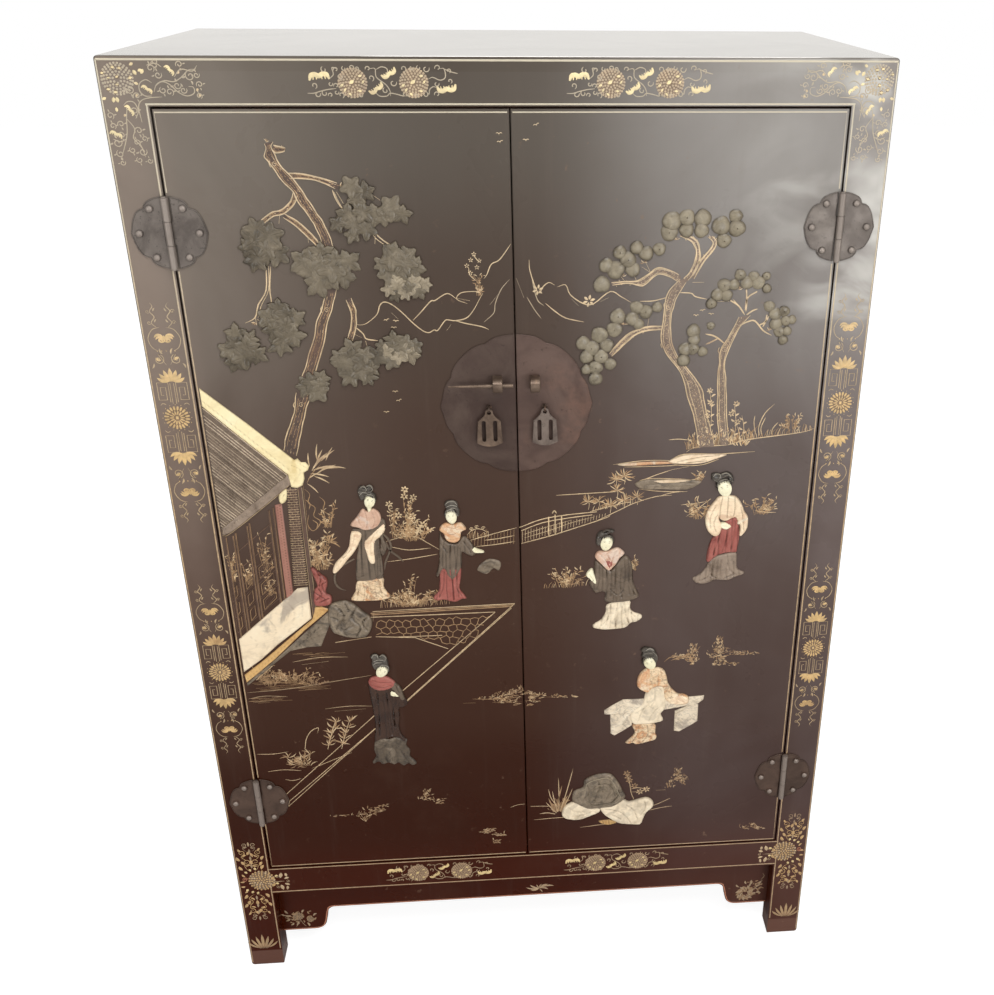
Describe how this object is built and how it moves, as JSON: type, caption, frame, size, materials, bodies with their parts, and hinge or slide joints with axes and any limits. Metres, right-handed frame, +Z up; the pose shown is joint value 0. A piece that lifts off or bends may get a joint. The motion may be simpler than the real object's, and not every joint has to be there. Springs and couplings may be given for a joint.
{
  "type": "cabinet",
  "caption": "Tall lacquered cabinet with hinged doors, shelves inside, a round lock plate with hanging pulls and sliding pin, and corner posts that stand it on the floor.",
  "frame": {"origin": "middle of the bounding box, hardware included, at floor level", "axes": "+Z up, +X to the viewer's right, doors and hardware towards -Y"},
  "size_m": [0.9, 0.4698, 1.388],
  "materials": {
    "lacquer": "dark red-brown to black gloss lacquer over wood, with worn edges",
    "inside_wood": "red-brown stained wood, satin",
    "lock_plate": "dark red-brown patina, rubbed to copper at the edges",
    "iron": "dark burnished iron with rubbed highlights",
    "gold": "pale gold lacquer line, slightly raised and worn",
    "stone": "carved soapstone and bone inlay, satin, in grey-green, cream, red and pink"
  },
  "bodies": {
    "root": {"left_front_post": "lacquer", "left_back_post": "lacquer", "right_front_post": "lacquer", "right_back_post": "lacquer", "top_board": "lacquer", "front_top_rail": "lacquer", "front_bottom_rail": "lacquer", "front_apron": "lacquer", "back_top_rail": "lacquer", "back_bottom_rail": "lacquer", "back_apron": "lacquer", "left_top_rail": "lacquer", "left_bottom_rail": "lacquer", "left_apron": "lacquer", "right_top_rail": "lacquer", "right_bottom_rail": "lacquer", "right_apron": "lacquer", "left_panel": "lacquer", "right_panel": "lacquer", "back_panel": "lacquer", "floor_board": "inside_wood", "top_door_stop": "inside_wood", "bottom_door_stop": "inside_wood", "shelf_1": "inside_wood", "left_shelf_cleat_1": "inside_wood", "right_shelf_cleat_1": "inside_wood", "shelf_2": "inside_wood", "left_shelf_cleat_2": "inside_wood", "right_shelf_cleat_2": "inside_wood", "left_lower_frame_leaf": "iron", "left_lower_hinge_pin": "iron", "left_upper_frame_leaf": "iron", "left_upper_hinge_pin": "iron", "right_lower_frame_leaf": "iron", "right_lower_hinge_pin": "iron", "right_upper_frame_leaf": "iron", "right_upper_hinge_pin": "iron"},
    "left_door": {"left_door_board": "lacquer", "left_door_lower_batten": "inside_wood", "left_lower_door_leaf": "iron", "left_door_upper_batten": "inside_wood", "left_upper_door_leaf": "iron", "left_lock_plate": "lock_plate", "left_staple": "iron", "left_pull_eye": "iron"},
    "left_pull_body": {"left_pull": "iron"},
    "right_door": {"right_door_board": "lacquer", "right_door_lower_batten": "inside_wood", "right_lower_door_leaf": "iron", "right_door_upper_batten": "inside_wood", "right_upper_door_leaf": "iron", "right_lock_plate": "lock_plate", "right_staple": "iron", "right_pull_eye": "iron"},
    "right_pull_body": {"right_pull": "iron"},
    "lock_pin_body": {"lock_pin": "iron"}
  },
  "joints": [
    {"name": "left_door_hinge", "type": "hinge", "parent": "root", "child": "left_door", "pos_m": [-0.3965, -0.21665, 0.7695], "axis": [0, 0, -1], "range_deg": [0, 165]},
    {"name": "right_door_hinge", "type": "hinge", "parent": "root", "child": "right_door", "pos_m": [0.3965, -0.21665, 0.7695], "axis": [0, 0, 1], "range_deg": [0, 165]},
    {"name": "left_pull_swing", "type": "hinge", "parent": "left_door", "child": "left_pull_body", "pos_m": [-0.0355, -0.22085, 0.96625], "axis": [-1, 0, 0], "range_deg": [-5, 120]},
    {"name": "right_pull_swing", "type": "hinge", "parent": "right_door", "child": "right_pull_body", "pos_m": [0.0355, -0.22085, 0.96625], "axis": [-1, 0, 0], "range_deg": [-5, 120]},
    {"name": "lock_pin_slide", "type": "slide", "parent": "left_door", "child": "lock_pin_body", "axis": [1, 0, 0], "range_m": [-0.02, 0.034]}
  ]
}
